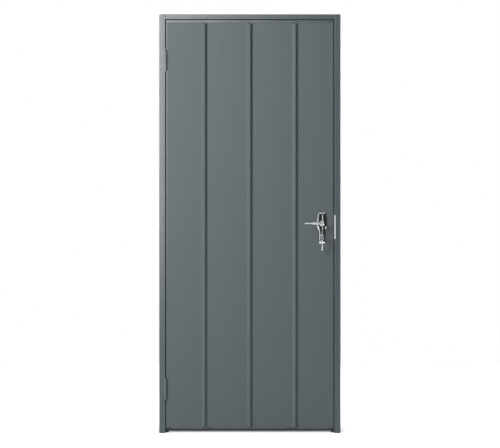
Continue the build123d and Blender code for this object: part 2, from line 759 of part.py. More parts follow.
for name, layer in zip(("first_lever", "second_lever"), lever_layers):
    with BuildPart() as lever:
        with BuildSketch(Plane.XZ.offset(-layer[0])) as outline:
            with Locations((lever_pivot[0] + 13, gate_z + 0.5)):
                Rectangle(36, 22)
            with Locations(lever_pivot):
                Circle(6)
            fillet(outline.vertices().group_by(Axis.X)[-1], 3)
            with Locations((spindle_x, key_z)):
                Circle(11.5, mode=Mode.SUBTRACT)
            with Locations((stump_x, gate_z), (stump_x + bolt_throw, gate_z)):
                Rectangle(6.4, 11, mode=Mode.SUBTRACT)
            with Locations((stump_x + bolt_throw / 2, gate_z)):
                Rectangle(bolt_throw, 4.2, mode=Mode.SUBTRACT)
            with Locations(lever_pivot):
                Circle(2.55, mode=Mode.SUBTRACT)
        extrude(amount=-(layer[1] - layer[0]))
    save(lever.part, name)

for name, layer in zip(("first_lever_spring", "second_lever_spring"), lever_layers):
    with BuildPart() as leaf_spring:
        top = gate_z + 11.5
        with BuildSketch(Plane.XZ.offset(-layer[0] - 0.2)):
            with BuildLine():
                Polyline((spindle_x + 9, top), (spindle_x + 14, top), (spring_stop[0], spring_stop[1] - 2.2),
                         (spring_stop[0], spring_stop[1] - 1.7), (spindle_x + 13, top + 0.6),
                         (spindle_x + 9, top + 0.6), close=True)
            make_face()
        extrude(amount=-(layer[1] - layer[0] - 0.4))
    save(leaf_spring.part, name)


# The handles: a cast plate and a lever on each face of the leaf, joined by the square spindle
def plate_edge(side):
    """One long edge of a handle plate, as a smooth line through its widths."""
    return Spline(*[(spindle_x + side * w, spindle_height + z) for z, w in plate_outline])


def handle_plate(face):
    """A cast plate with a domed body, widest behind the lever, on the front face at -1 or the back at 1."""
    y = front_y if face < 0 else back_y
    with BuildPart() as plate:
        with BuildSketch(Plane.XZ.offset(-y)) as base:
            with BuildLine():
                right = plate_edge(1)
                left = plate_edge(-1)
                Line(right @ 0, left @ 0)
                Line(right @ 1, left @ 1)
            make_face()
            fillet(base.vertices(), 4)
        extrude(amount=-face * plate_base)
        fillet(plate.faces().sort_by(Axis.Y)[0 if face < 0 else -1].edges(), 0.8)
    with BuildPart() as dome:
        seat = y + face * (plate_base - 0.5)
        for z, half_width, height in plate_dome:
            with BuildSketch(Plane.XY.offset(spindle_height + z)):
                with BuildLine():
                    crown = (spindle_x, seat + face * (height + 0.5))
                    ThreePointArc((spindle_x - half_width, seat), crown, (spindle_x + half_width, seat))
                    Line((spindle_x + half_width, seat), (spindle_x - half_width, seat))
                make_face()
        loft()
    with BuildPart() as boss:
        add(rod((spindle_x, y + face, spindle_height), (0, face, 0), boss_radius,
                plate_base + plate_body + 1.0))
        fillet(boss.edges().sort_by(Axis.Y)[0 if face < 0 else -1], 1.2)
    with BuildPart() as finished:
        add(plate.part)
        add(dome.part)
        add(boss.part)
        through = plate_base + plate_body + 6
        add(rod((spindle_x, y - face, spindle_height), (0, face, 0), 8 + running_play, through),
            mode=Mode.SUBTRACT)
        add(rod((spindle_x, y - face, key_z), (0, face, 0), 3.4, through), mode=Mode.SUBTRACT)
        add(block((spindle_x - 1.6, spindle_x + 1.6), sorted((y - face, y + face * through)),
                  (key_z - 11, key_z)), mode=Mode.SUBTRACT)
        for x, z in handle_screws:
            head = (x, y + face * (plate_base + plate_screw_depth - 1), z)
            add(rod(head, (0, face, 0), 4.2, 8), mode=Mode.SUBTRACT)
            add(countersink(head, (0, -face, 0), 1.8, 8, 0.05), mode=Mode.SUBTRACT)
    return finished.part


def handle_lever(face):
    """A cast lever: a flared hub on a round neck, and a slim arm reaching towards the hinges."""
    y = front_y if face < 0 else back_y
    hub = y + face * (plate_base + plate_body + 2 + boss_play)
    out = y + face * lever_projection
    with BuildPart() as lever:
        add(rod((spindle_x, y + face, spindle_height), (0, face, 0), 8, plate_base + plate_body + 2))
        with BuildSketch(Plane.XY.offset(spindle_height)):
            with BuildLine():
                start, waist = (spindle_x + 11.5, hub), (spindle_x + neck_radius, hub + face * 13)
                Line((spindle_x, hub), start)
                Line(start, (spindle_x + 11.5, hub + face * 2))
                Spline((spindle_x + 11.5, hub + face * 2), waist,
                       tangents=((-1, face * 0.35), (0, face)))
                Line(waist, (spindle_x + neck_radius, out))
                Line((spindle_x + neck_radius, out), (spindle_x, out))
                Line((spindle_x, out), (spindle_x, hub))
            make_face()
        revolve(axis=Axis((spindle_x, 0, spindle_height), (0, 1, 0)))
        stations = ((0.0, 6.2, 6.2, 0.0), (0.28, 4.9, 5.4, 2.0), (0.62, 4.7, 5.4, 2.2),
                    (0.90, 4.7, 5.2, 0.0), (0.97, 4.4, 4.8, -0.7), (1.0, 3.4, 3.8, -1.0))
        for part_way, tall, deep, forward in stations:
            with BuildSketch(Plane.YZ.offset(spindle_x - part_way * lever_reach)):
                with Locations((out + face * forward, spindle_height + 0.8 * part_way)):
                    Ellipse(deep, tall)
        loft()
        with Locations((spindle_x, out, spindle_height)):
            Sphere(6.8)
        square = spindle_side / 2 + square_play
        add(block((spindle_x - square, spindle_x + square),
                  sorted((y, y + face * 38)),
                  (spindle_height - square, spindle_height + square)), mode=Mode.SUBTRACT)
        add(rod((spindle_x, hub + face * 6, spindle_height - 3), (0, 0, -1), 2.0, 12), mode=Mode.SUBTRACT)
    return lever.part


save(handle_plate(-1), "front_handle_plate")
save(handle_plate(1), "back_handle_plate")
save(handle_lever(-1), "front_lever")
save(handle_lever(1), "back_lever")

with BuildPart() as spindle:
    add(block((spindle_x - spindle_side / 2, spindle_x + spindle_side / 2), (front_y - 36, back_y + 36),
              (spindle_height - spindle_side / 2, spindle_height + spindle_side / 2)))
    chamfer(spindle.edges().filter_by(Axis.Y), 0.5)
save(spindle.part, "spindle")

with BuildPart() as lever_grub_screws:
    for face in (-1, 1):
        y = (front_y if face < 0 else back_y) + face * (plate_base + plate_body + 8 + boss_play)
        add(rod((spindle_x, y, spindle_height - spindle_side / 2), (0, 0, -1), 2.0, 4.5))
save(lever_grub_screws.part, "lever_grub_screws")

for face, name in ((-1, "front_plate_screws"), (1, "back_plate_screws")):
    with BuildPart() as plate_screws:
        for x, z in handle_screws:
            y = (front_y if face < 0 else back_y) + face * (plate_base + plate_screw_depth - 1)
            add(countersunk_screw((x, y, z), (0, -face, 0), 1.8, 14))
    save(plate_screws.part, name)

# The key, hung from the front lever's neck on a doubled wire
wire_y = front_y - lever_projection + 16
eye_radius = neck_radius + wire_radius + 0.4
wire_low = spindle_height - 62.0
small_eye = 5.0
with BuildPart() as key_wire:
    eye_z = spindle_height - 0.3
    with BuildSketch(Plane.XY.offset(eye_z)):
        with Locations((spindle_x + eye_radius, wire_y)):
            Circle(wire_radius)
    revolve(axis=Axis((spindle_x, wire_y, eye_z), (0, 1, 0)))
    for side in (-1, 1):
        add(rod((spindle_x + side * (wire_radius - 0.1), wire_y, eye_z - eye_radius), (0, 0, -1),
                wire_radius, eye_z - eye_radius - wire_low - small_eye))
    turned = radians(key_turned)
    with BuildSketch(Plane.XY.offset(wire_low)):
        with Locations((spindle_x + small_eye * cos(turned), wire_y + small_eye * sin(turned))):
            Circle(wire_radius)
    revolve(axis=Axis((spindle_x, wire_y, wire_low), (-sin(turned), cos(turned), 0)))
save(key_wire.part, "key_wire")

bow_radius, bow_hole, bow_sheet = 12.0, 5.0, 2.4
key_plane = Plane(origin=(spindle_x, wire_y, wire_low - small_eye - bow_hole + wire_radius + 0.4),
                  x_dir=(-sin(turned), cos(turned), 0), z_dir=(cos(turned), sin(turned), 0))
with BuildPart() as hanging_key:
    with BuildSketch(key_plane.offset(-bow_sheet / 2)):
        Ellipse(bow_radius, bow_radius - 1.5)
    extrude(amount=bow_sheet)
    with BuildSketch(Plane.XY.offset(key_plane.origin.Z - bow_radius + 2)):
        with Locations((spindle_x, wire_y)):
            Circle(2.6)
    extrude(amount=-50)
    with BuildSketch(Plane.XY.offset(key_plane.origin.Z - bow_radius)):
        with Locations((spindle_x, wire_y)):
            Circle(3.8)
    extrude(amount=-3)
    with BuildSketch(key_plane.offset(-1.1)):
        with Locations((6, -bow_radius - 42)):
            Rectangle(11, 10)
        with Locations((10, -bow_radius - 44)):
            Rectangle(4, 2.2, mode=Mode.SUBTRACT)
        with Locations((10.5, -bow_radius - 39.5)):
            Rectangle(3, 1.8, mode=Mode.SUBTRACT)
    extrude(amount=2.2)
    with BuildSketch(key_plane.offset(-bow_sheet)):
        Circle(bow_hole)
    extrude(amount=2 * bow_sheet, mode=Mode.SUBTRACT)
save(hanging_key.part, "hanging_key")
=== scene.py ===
# %% [markdown]
# # A painted steel door in its frame
# The door stands closed in a pressed steel frame. The shapes come from the construction
# model, which is loaded as it is and never moved. This file gives every surface its finish,
# copies the lock's springs, adds the small welds that hold the frame together, and sets
# up the camera, the floor and the light. Lengths are in metres, X runs along the door,
# Y goes through the wall, Z is up.

# %% Load the construction model
import json
import math

import bmesh
import bpy
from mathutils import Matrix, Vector

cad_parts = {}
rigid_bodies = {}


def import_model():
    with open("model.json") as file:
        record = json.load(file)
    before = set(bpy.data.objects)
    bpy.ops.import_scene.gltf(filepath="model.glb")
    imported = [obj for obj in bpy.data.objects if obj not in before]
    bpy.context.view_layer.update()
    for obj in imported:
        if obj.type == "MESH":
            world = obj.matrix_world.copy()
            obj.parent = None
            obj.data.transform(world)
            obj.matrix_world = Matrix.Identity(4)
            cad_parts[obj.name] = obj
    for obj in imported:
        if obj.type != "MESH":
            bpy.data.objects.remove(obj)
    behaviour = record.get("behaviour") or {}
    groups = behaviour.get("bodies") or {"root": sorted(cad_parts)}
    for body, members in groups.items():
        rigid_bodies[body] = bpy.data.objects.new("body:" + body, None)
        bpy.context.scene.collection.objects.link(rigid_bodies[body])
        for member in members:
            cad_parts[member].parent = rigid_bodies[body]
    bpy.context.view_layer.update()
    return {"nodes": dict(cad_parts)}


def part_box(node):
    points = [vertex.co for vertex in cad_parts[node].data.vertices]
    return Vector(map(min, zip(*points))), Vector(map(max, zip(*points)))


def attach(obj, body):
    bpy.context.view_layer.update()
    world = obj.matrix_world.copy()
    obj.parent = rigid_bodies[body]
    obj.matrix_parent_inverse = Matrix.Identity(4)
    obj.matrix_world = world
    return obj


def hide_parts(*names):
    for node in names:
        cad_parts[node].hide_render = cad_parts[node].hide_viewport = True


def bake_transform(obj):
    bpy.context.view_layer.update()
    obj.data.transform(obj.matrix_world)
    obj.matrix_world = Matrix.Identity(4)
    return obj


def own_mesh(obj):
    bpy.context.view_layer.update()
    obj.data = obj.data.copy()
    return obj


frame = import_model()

nodes = frame["nodes"]

# %% [markdown]
# ## The camera
# The picture looks straight at the door with almost no perspective, as from far away
# through a long lens. One pixel of the 500 x 448 picture is 4.85 mm on the frame's face.
# So the camera stands 12 m away, level with the middle of the picture, and the lens is
# worked out from the width that it must take in.

# %% Place the camera
MILLIMETRE = 0.001
PICTURE_WIDTH = 500
PIXEL = 4.85 * MILLIMETRE
PICTURE_MIDDLE_X = 0.0005
PICTURE_MIDDLE_Z = 1.0146
CAMERA_DISTANCE = 12.0
SENSOR = 36.0
front_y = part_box("lock_jamb")[0].y

camera_data = bpy.data.cameras.new("door_camera")
camera_data.sensor_width = SENSOR
camera_data.lens = SENSOR * CAMERA_DISTANCE / (PICTURE_WIDTH * PIXEL)
camera_data.clip_end = 100.0
camera = bpy.data.objects.new("door_camera", camera_data)
camera.location = (PICTURE_MIDDLE_X, front_y - CAMERA_DISTANCE, PICTURE_MIDDLE_Z)
camera.rotation_euler = (math.radians(90), 0, 0)
bpy.context.scene.collection.objects.link(camera)
bpy.context.scene.camera = camera
print("lens", round(camera_data.lens, 1), "mm at", CAMERA_DISTANCE, "m")

# %% [markdown]
# ## Small helpers for materials
# Colours are written as on a paint card, in sRGB hex, and Blender wants linear light, so
# one function turns one into the other. A second one adds a node with its settings and
# its links, and every tree below is built with it. The others start a material, mottle it,
# because nearly every real surface is a little cloudy at a grain of its own, and dress its
# shader with the result.

# %% Colour and node helpers
def linear(code):
    """The linear RGBA of an sRGB hex colour."""
    parts = [int(code[i:i + 2], 16) / 255 for i in (0, 2, 4)]
    return [p / 12.92 if p <= 0.04045 else ((p + 0.055) / 1.055) ** 2.4 for p in parts] + [1.0]


def add_node(tree, kind, links=None, **settings):
    """A node of this kind, its sockets linked or set by name or number, its settings set."""
    made = tree.nodes.new(kind)
    for key, value in settings.items():
        setattr(made, key, value)
    for key, value in (links or {}).items():
        socket = made.inputs[key]
        if isinstance(value, bpy.types.NodeSocket):
            tree.links.new(value, socket)
        else:
            socket.default_value = value
    return made


print("mid grey 808080 is", round(linear("808080")[0], 3), "in linear light")

# %% Start, mottle and dress a material
def start_material(name):
    """A new material: its tree, its shader and the object coordinates in metres."""
    material = bpy.data.materials.new(name)
    material.use_nodes = True
    tree = material.node_tree
    shader = tree.nodes["Principled BSDF"]
    place = add_node(tree, "ShaderNodeTexCoord").outputs["Object"]
    print("making", name)
    return material, tree, shader, place


def mottle(tree, place, grain, detail=2.0, stretch=(1, 1, 1)):
    """A cloudy pattern from 0 to 1 whose lumps are about one grain across, in metres."""
    scaled = add_node(tree, "ShaderNodeVectorMath", {0: place, 1: stretch}, operation="MULTIPLY")
    made = add_node(tree, "ShaderNodeTexNoise",
                    {"Vector": scaled.outputs[0], "Scale": 1 / grain, "Detail": detail})
    return made.outputs[0]


def dress(tree, shader, tone, gloss, height):
    """Give a shader its colour, its roughness and its relief, a height in metres."""
    bump = add_node(tree, "ShaderNodeBump", {"Height": height, "Distance": 1.0, "Strength": 1.0})
    tree.links.new(tone, shader.inputs["Base Color"])
    tree.links.new(gloss, shader.inputs["Roughness"])
    tree.links.new(bump.outputs[0], shader.inputs["Normal"])


# %% [markdown]
# ## Stoved enamel
# The door and its frame are sprayed with a blue-grey satin enamel and baked. Sprayed
# enamel is never quite flat: it keeps an orange peel of about 3 mm, and the sheet under it
# waves a little, so that a reflection wanders. The peel is drawn at 6 mm, because 3 mm is
# finer than a pixel. Fine dust that fell in the wet paint shows as lighter specks.
# The frame is folded from stiffer sheet and was rubbed down at its welds: it is a little
# glossier than the leaf. Between its ribs the leaf's sheet swells by under a millimetre.
# The leaf's edges are sprayed twice, once from the front and once along the edge, so the
# coat is thicker and glossier on its top margin and on a narrow strip down each side.

# %% Where the leaf is coated twice, and where it swells
TOP_STRIP = 12 * MILLIMETRE
SIDE_STRIP = 5 * MILLIMETRE
STRIP_FADE = 1 * MILLIMETRE
RIB_PITCH = 220.0 * MILLIMETRE


def twice_coated(tree, place):
    """1 on the leaf's top and side strips, 0 inside them."""
    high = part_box("front_skin")[1]
    parts = add_node(tree, "ShaderNodeSeparateXYZ", {0: place}).outputs
    across = add_node(tree, "ShaderNodeMath", {0: parts["X"]}, operation="ABSOLUTE").outputs[0]
    strips = 0.0
    for value, edge in ((parts["Z"], high.z - TOP_STRIP), (across, high.x - SIDE_STRIP)):
        strip = add_node(tree, "ShaderNodeMapRange",
                         {"Value": value, "From Min": edge - STRIP_FADE,
                          "From Max": edge + STRIP_FADE}).outputs[0]
        strips = add_node(tree, "ShaderNodeMath", {0: strips, 1: strip},
                          operation="MAXIMUM").outputs[0]
    return strips


def crown_between_ribs(tree, place):
    """0 at each rib, rising to 1 halfway to the next."""
    value = add_node(tree, "ShaderNodeSeparateXYZ", {0: place}).outputs["X"]
    for operation, factor in (("MULTIPLY", math.pi / RIB_PITCH), ("SINE", 0), ("ABSOLUTE", 0)):
        value = add_node(tree, "ShaderNodeMath", {0: value, 1: factor},
                         operation=operation).outputs[0]
    return value


print("the ribs are", round(RIB_PITCH / MILLIMETRE), "mm apart")

# %% Make the enamel of the frame and of the leaf
PAINT = "5f6a6e"
DUST = "9aa0a0"
CLOUD_GRAIN = 300 * MILLIMETRE
CLOUD_LIFT = 1.06
DUST_GRAIN = 5 * MILLIMETRE
DUST_SPECKS = {"From Min": 0.66, "From Max": 0.74, "To Max": 0.10}
RUB_GRAIN = 45 * MILLIMETRE
RUB_SPREAD = 0.04
PEEL_GRAIN = 6 * MILLIMETRE
PEEL_DEPTH = 0.012 * MILLIMETRE
WAVE_GRAIN = 160 * MILLIMETRE
WAVE_DEPTH = 0.5 * MILLIMETRE
WAVE_STRETCH = (1, 1, 0.45)
ENAMEL_IOR = 1.5


def enamel(name, roughness, swell=0.0, edge_roughness=None):
    """Satin enamel on sheet that waves, and swells between ribs by an amount in metres."""
    material, tree, shader, place = start_material(name)
    card = linear(PAINT)
    lighter = [part * CLOUD_LIFT for part in card[:3]] + [1.0]
    cloud = mottle(tree, place, CLOUD_GRAIN, 3)
    toned = add_node(tree, "ShaderNodeMix", {0: cloud, 6: card, 7: lighter}, data_type="RGBA")
    speck = add_node(tree, "ShaderNodeMapRange",
                     {"Value": mottle(tree, place, DUST_GRAIN), **DUST_SPECKS})
    dusty = add_node(tree, "ShaderNodeMix",
                     {0: speck.outputs[0], 6: toned.outputs[2], 7: linear(DUST)},
                     data_type="RGBA")
    gloss = add_node(tree, "ShaderNodeMapRange",
                     {"Value": mottle(tree, place, RUB_GRAIN, 4),
                      "To Min": roughness - RUB_SPREAD, "To Max": roughness + RUB_SPREAD})
    relief = [(mottle(tree, place, PEEL_GRAIN), PEEL_DEPTH),
              (mottle(tree, place, WAVE_GRAIN, 1, WAVE_STRETCH), WAVE_DEPTH)]
    if edge_roughness:
        gloss = add_node(tree, "ShaderNodeMix",
                         {"Factor": twice_coated(tree, place), "A": gloss.outputs[0],
                          "B": edge_roughness}, data_type="FLOAT")
    if swell:
        relief.append((crown_between_ribs(tree, place), swell))
    height = 0.0
    for pattern, depth in relief:
        height = add_node(tree, "ShaderNodeMath", {0: pattern, 1: depth, 2: height},
                          operation="MULTIPLY_ADD").outputs[0]
    dress(tree, shader, dusty.outputs[2], gloss.outputs[0], height)
    shader.inputs["IOR"].default_value = ENAMEL_IOR
    return material


frame_enamel = enamel("frame_satin_enamel", 0.34)
leaf_enamel = enamel("leaf_satin_enamel", 0.60, swell=0.9 * MILLIMETRE, edge_roughness=0.32)

# %% [markdown]
# ## Bare and plated metals
# The lock and its fittings are plated. What tells one plating from another is its colour,
# how sharp its reflections are, and the marks of its making: chrome on polished castings
# mirrors the room with faint ripples, zinc is cloudy, and nickel on drawn bar keeps faint
# lines along it. Rolled steel and spring wire are bare and oiled, with fine lines from the
# rolls and the die, and the brass levers show the lines of the strip they were cut from.

# %% Make the metals
def metal(name, colour, roughness, grain, depth, stretch=(1, 1, 1), spread=0.06, dark=0.8):
    """A metal with its own cloudiness: grain and depth of its surface in millimetres."""
    material, tree, shader, place = start_material(name)
    cloud = mottle(tree, place, grain * MILLIMETRE, 4, stretch)
    bright = linear(colour)
    dull = [part * dark for part in bright[:3]] + [1.0]
    tone = add_node(tree, "ShaderNodeMix", {0: cloud, 6: dull, 7: bright}, data_type="RGBA")
    gloss = add_node(tree, "ShaderNodeMapRange",
                     {"Value": cloud, "To Min": roughness + spread, "To Max": roughness - spread})
    height = add_node(tree, "ShaderNodeMath", {0: cloud, 1: depth * MILLIMETRE},
                      operation="MULTIPLY")
    dress(tree, shader, tone.outputs[2], gloss.outputs[0], height.outputs[0])
    shader.inputs["Metallic"].default_value = 1.0
    return material


# Cast, polished and plated: a mirror with faint ripples.
chrome = metal("polished_chrome_plate", "d6dadd", 0.10, 9, 0.02, spread=0.03, dark=0.93)
# Plated on pressed steel: pale, soft and a little cloudy.
zinc = metal("bright_zinc_plate", "ced2d3", 0.22, 4, 0.008, dark=0.86)
# Plated on milled bar: duller than chrome, with faint upright lines.
nickel = metal("nickel_plate", "cdd1d2", 0.34, 3, 0.006, (1, 1, 0.2), dark=0.85)
# Cut from rolled plate and oiled: dark grey, with the lines of the rolls.
rolled = metal("oiled_rolled_steel", "7a7d7f", 0.42, 1.5, 0.01, (1, 1, 0.08), dark=0.7)
# Drawn through a die: an even dull silver.
wire = metal("drawn_spring_wire", "b4b7b7", 0.32, 0.8, 0.004)
# Blanked from strip: warm yellow, with lines along the strip.
brass = metal("blanked_brass_sheet", "b89a4c", 0.34, 2, 0.006, (0.15, 1, 1))

# %% [markdown]
# ## Galvanised sheet
# The channels inside the leaf and the box behind the strike are hot-dip galvanised. The
# zinc freezes into flat crystals, the spangle, and each takes the light in its own grey. A
# Voronoi pattern gives each crystal its cell and its shade, and fine noise its frost.

# %% Make the galvanised sheet
SPANGLE_SIZE = 10 * MILLIMETRE
SPANGLE_GREYS = ("8f9698", "b4babb")
SPANGLE_ROUGHNESS = (0.36, 0.52)
SPANGLE_METALLIC = 0.9
FROST_GRAIN = 2 * MILLIMETRE
FROST_DEPTH = 0.004 * MILLIMETRE


def galvanised(name):
    """Hot-dip galvanised sheet: crystals about 10 mm across, each with its own grey."""
    material, tree, shader, place = start_material(name)
    crystal = add_node(tree, "ShaderNodeTexVoronoi", {"Vector": place, "Scale": 1 / SPANGLE_SIZE})
    shade = add_node(tree, "ShaderNodeSeparateColor", {0: crystal.outputs["Color"]}).outputs[0]
    dark, bright = SPANGLE_GREYS
    tone = add_node(tree, "ShaderNodeMix", {0: shade, 6: linear(dark), 7: linear(bright)},
                    data_type="RGBA")
    smooth, rough = SPANGLE_ROUGHNESS
    gloss = add_node(tree, "ShaderNodeMapRange",
                     {"Value": shade, "To Min": smooth, "To Max": rough})
    frost = add_node(tree, "ShaderNodeMath",
                     {0: mottle(tree, place, FROST_GRAIN), 1: FROST_DEPTH}, operation="MULTIPLY")
    dress(tree, shader, tone.outputs[2], gloss.outputs[0], frost.outputs[0])
    shader.inputs["Metallic"].default_value = SPANGLE_METALLIC
    return material


spangle = galvanised("galvanised_sheet")

# %% [markdown]
# ## Every piece gets its finish
# The frame, the hinges and their screws were sprayed together, so they share the frame's
# enamel. The leaf has its own. Inside, nothing is painted.

# %% Give each construction piece its material
FINISHES = {
    "frame": (frame_enamel,
              "hinge_jamb lock_jamb frame_head threshold lower_hinge_frame_leaf "
              "upper_hinge_frame_leaf lower_hinge_pin upper_hinge_pin frame_hinge_screws "
              "lower_hinge_door_leaf upper_hinge_door_leaf door_hinge_screws"),
    "leaf": (leaf_enamel, "front_skin back_skin top_channel bottom_channel"),
    "chrome": (chrome,
               "front_handle_plate back_handle_plate front_lever back_lever "
               "front_plate_screws back_plate_screws"),
    "zinc": (zinc, "strike_plate strike_screws forend forend_screws"),
    "nickel": (nickel, "latch_bolt dead_bolt hanging_key"),
    "rolled": (rolled,
               "jamb_hinge_backings leaf_hinge_backings lock_case case_cover case_rivets "
               "case_posts forend_nut_plates follower spindle"),
    "wire": (wire,
             "key_wire latch_spring first_lever_spring second_lever_spring lever_grub_screws"),
    "brass": (brass, "first_lever second_lever"),
    "spangle": (spangle, "hinge_stile lock_stile left_stiffener right_stiffener strike_box"),
}
finished = set()
for finish, names in FINISHES.values():
    for name in names.split():
        nodes[name].data.materials.clear()
        nodes[name].data.materials.append(finish)
        finished.add(name)
print(len(finished), "pieces finished, left over:", sorted(set(nodes) - finished))

# %% [markdown]
# ## Copies of the springs
# A spring changes its shape when the lock works, and a stiff one would cut into the piece
# that presses it. So each spring here is a merged copy that stands for its construction
# piece, which is hidden. The coil behind the latch is smoothed and rides with the leaf, on
# a mesh of its own. Each lever's flat spring is baked in place.

# %% Copy a spring
MERGE_DISTANCE = 0.001 * MILLIMETRE


def add_piece(name, mesh):
    """A mesh as an object of the scene, at the origin, as the construction pieces are."""
    made = bpy.data.objects.new(name, mesh)
    bpy.context.scene.collection.objects.link(made)
    return made


def spring_for(node, name):
    """A merged copy of a spring, which stands for the construction piece."""
    shape = bmesh.new()
    shape.from_mesh(nodes[node].data)
    bmesh.ops.remove_doubles(shape, verts=shape.verts, dist=MERGE_DISTANCE)
    mesh = bpy.data.meshes.new(name)
    shape.to_mesh(mesh)
    shape.free()
    mesh.materials.clear()
    mesh.materials.append(wire)
    made = add_piece(name, mesh)
    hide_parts(node)
    print(name, len(mesh.vertices), "points")
    return made


# %% Copy the springs
latch_coil = spring_for("latch_spring", "latch_coil")
latch_coil.data.polygons.foreach_set("use_smooth", [True] * len(latch_coil.data.polygons))
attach(latch_coil, "leaf")
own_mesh(latch_coil)
for word in ("first", "second"):
    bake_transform(spring_for(f"{word}_lever_spring", f"{word}_flat_spring"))

# %% [markdown]
# ## The welds of the frame
# A head that lies between two jambs is held by a weld across each corner. On the face it
# is ground almost flush and shows under the paint as a faint seam. Behind the stop, where
# nobody grinds, the bead stays as it was laid: a row of overlapping scales. One geometry
# node tree makes both. It lays scales along a line, and its inputs give the line, the
# scale's size and how far the scales are apart.

# %% Build the weld tree
SCALE_SHAPE = {"Segments": 12, "Rings": 8, "Radius": 0.5}
# The smallest and the largest scale, and the seed that picks the size of each.
SCALE_SPREAD = {2: 0.85, 3: 1.15, "Seed": 4}


def weld_tree():
    """A geometry node tree that lays weld scales along a straight line."""
    tree = bpy.data.node_groups.new("weld_scales", "GeometryNodeTree")
    inputs = {}
    for name, kind in (("Start", "NodeSocketVector"), ("End", "NodeSocketVector"),
                       ("Width", "NodeSocketFloat"), ("Height", "NodeSocketFloat"),
                       ("Step", "NodeSocketFloat"), ("Paint", "NodeSocketMaterial")):
        socket = tree.interface.new_socket(name, in_out="INPUT", socket_type=kind)
        inputs[name] = socket.identifier
    tree.interface.new_socket("Bead", in_out="OUTPUT", socket_type="NodeSocketGeometry")
    given = add_node(tree, "NodeGroupInput")
    run = add_node(tree, "GeometryNodeCurvePrimitiveLine",
                   {"Start": given.outputs["Start"], "End": given.outputs["End"]})
    points = add_node(tree, "GeometryNodeCurveToPoints",
                      {"Curve": run.outputs[0], "Length": given.outputs["Step"]}, mode="LENGTH")
    scale = add_node(tree, "GeometryNodeMeshUVSphere", SCALE_SHAPE)
    wander = add_node(tree, "FunctionNodeRandomValue", SCALE_SPREAD)
    size = add_node(tree, "ShaderNodeCombineXYZ",
                    {0: given.outputs["Width"], 1: given.outputs["Height"],
                     2: given.outputs["Width"]})
    uneven = add_node(tree, "ShaderNodeVectorMath",
                      {0: size.outputs[0], "Scale": wander.outputs[1]}, operation="SCALE")
    laid = add_node(tree, "GeometryNodeInstanceOnPoints",
                    {"Points": points.outputs["Points"], "Instance": scale.outputs["Mesh"],
                     "Scale": uneven.outputs[0]})
    real = add_node(tree, "GeometryNodeRealizeInstances", {0: laid.outputs[0]})
    painted = add_node(tree, "GeometryNodeSetMaterial",
                       {"Geometry": real.outputs[0], "Material": given.outputs["Paint"]})
    add_node(tree, "NodeGroupOutput", {0: painted.outputs[0]})
    return tree, inputs


weld_nodes, weld_inputs = weld_tree()
print("the weld tree has", len(weld_nodes.nodes), "nodes and", len(weld_inputs), "inputs")

# %% Bake a weld to a plain mesh
def weld(name, start, end, width, height, step):
    """One weld bead, baked to a plain mesh that rides with the frame."""
    holder = add_piece(name + "_maker", bpy.data.meshes.new(name + "_maker"))
    maker = holder.modifiers.new("scales", "NODES")
    maker.node_group = weld_nodes
    for key, value in (("Start", start), ("End", end), ("Width", width), ("Height", height),
                       ("Step", step), ("Paint", frame_enamel)):
        maker[weld_inputs[key]] = value
    seen = holder.evaluated_get(bpy.context.evaluated_depsgraph_get())
    mesh = bpy.data.meshes.new_from_object(seen)
    bpy.data.objects.remove(holder)
    bead = add_piece(name, mesh)
    mesh.polygons.foreach_set("use_smooth", [True] * len(mesh.polygons))
    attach(bead, "frame")
    print(name, len(mesh.polygons), "faces")


# %% Lay the welds
# The width, the height and the step of the seam that is ground and of the bead that isn't.
GROUND_SEAM = (3 * MILLIMETRE, 0.8 * MILLIMETRE, 1.2 * MILLIMETRE)
RAW_BEAD = (4 * MILLIMETRE, 3 * MILLIMETRE, 1.8 * MILLIMETRE)
JOINT_X = 0.410
STOP_X = 0.395
SEAM_FOOT_Z = 2.011
SOFFIT_Z = 1.9915
BEAD_FRONT_Y = 0.026
BEAD_BACK_Y = 0.052
seam_y = front_y + 0.9 * MILLIMETRE
seam_top_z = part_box("frame_head")[1].z - 3 * MILLIMETRE
sill_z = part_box("threshold")[1].z + 0.5 * MILLIMETRE
for side, word in ((-1, "hinge"), (1, "lock")):
    weld(f"{word}_corner_seam", (side * JOINT_X, seam_y, SEAM_FOOT_Z),
         (side * JOINT_X, seam_y, seam_top_z), *GROUND_SEAM)
    for bead, bead_z in (("sill_weld", sill_z), ("soffit_weld", SOFFIT_Z)):
        weld(f"{word}_{bead}", (side * STOP_X, BEAD_FRONT_Y, bead_z),
             (side * STOP_X, BEAD_BACK_Y, bead_z), *RAW_BEAD)

# %% [markdown]
# ## The floor
# The background is pure white and the door stands on a plain pale floor. White is the
# colour that camera, mirror and glass rays find there, so no extra light is needed to
# reach it. The floor is grey for the lamps, and a glow that fades in with the distance
# makes it white, so the door's shadow stays. The photograph looks through the gap under
# the door at the floor behind it, which the frame keeps in shade. A glow has no shadow of
# its own, so there the shade is painted: the glow is taken out in a patch behind the
# threshold, as far out as its ends.

# %% Say where the floor glows
GLOW_FADE = {"From Min": 0.6, "From Max": 3.5, "To Min": 0.90, "To Max": 1.0}
# The share of the glow that is left inside the painted shade.
SHADE_GLOW = 0.06
# Where the painted shade is full and where it ends: to each side, to the back and to the front.
SHADE_SIDE = (0.41, 0.50)
SHADE_BACK = (0.14, 0.42)
SHADE_FRONT = (0.055, 0.03)


